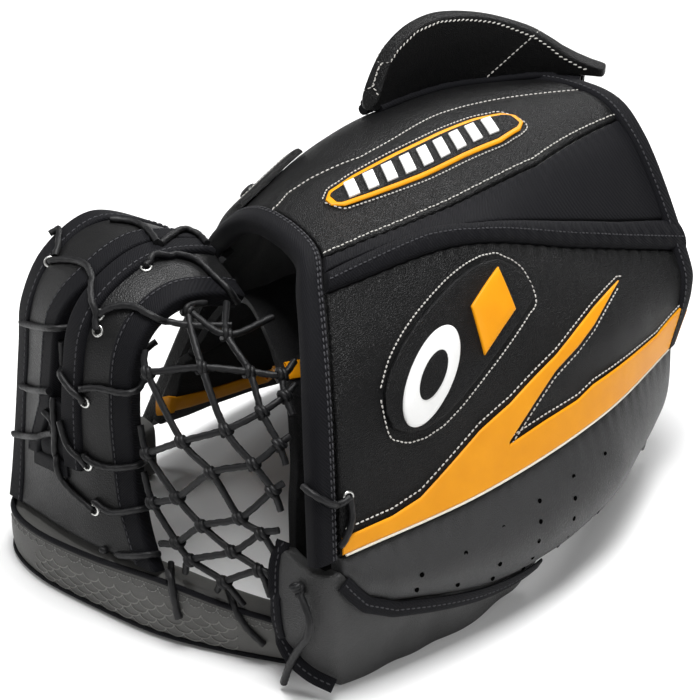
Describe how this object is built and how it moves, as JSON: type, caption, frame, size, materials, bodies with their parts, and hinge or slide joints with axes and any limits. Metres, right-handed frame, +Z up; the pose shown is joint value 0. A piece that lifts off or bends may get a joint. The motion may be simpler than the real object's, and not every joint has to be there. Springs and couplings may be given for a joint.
{
  "type": "hockey goalie catching glove",
  "caption": "Leather catching glove for an ice hockey goalkeeper, lying palm down, with a laced web, two-stem T, padded back, cuff and wrist pad.",
  "frame": {"origin": "centre of the bounding box, at its bottom, where the glove rests on the floor", "axes": "+X from thumb side to little-finger side, +Y from the web to the wrist, +Z up from the floor through the back of the hand"},
  "size_m": [0.3166, 0.4642, 0.294],
  "materials": {
    "finger_panel": "grained",
    "gusset_panel": "woven nylon",
    "knuckle_panel": "grained",
    "thumb_back": "grained",
    "side_strap": "grained",
    "side_roll": "soft, perforated",
    "pouch": "soft",
    "mouth_binding": "woven tape",
    "palm": "soft",
    "thumb_panel": "soft, yellow stripe",
    "web_panel": "soft, taped edges",
    "slot_cloth": "gathered",
    "t_bar": "quilted",
    "net_near": "braided lace",
    "net_far": "braided lace",
    "wrist_pad": "grained",
    "cuff": "grained",
    "slash": "smooth",
    "crest": "smooth",
    "long_badge": "smooth",
    "lace_tail": "braided lace",
    "lace_end": "braided lace",
    "pull_tab": "smooth"
  },
  "bodies": {
    "root": {"finger_panel": "finger_panel", "gusset_panel": "gusset_panel", "knuckle_panel": "knuckle_panel", "thumb_back": "thumb_back", "side_strap": "side_strap", "side_roll": "side_roll", "pouch": "pouch", "mouth_binding": "mouth_binding", "palm": "palm", "thumb_panel": "thumb_panel", "web_panel": "web_panel", "slot_cloth": "slot_cloth", "t_bar": "t_bar", "net_near": "net_near", "net_far": "net_far", "wrist_pad": "wrist_pad", "cuff": "cuff", "slash": "slash", "crest": "crest", "long_badge": "long_badge", "lace_tail": "lace_tail", "lace_end": "lace_end", "pull_tab": "pull_tab"}
  },
  "joints": []
}
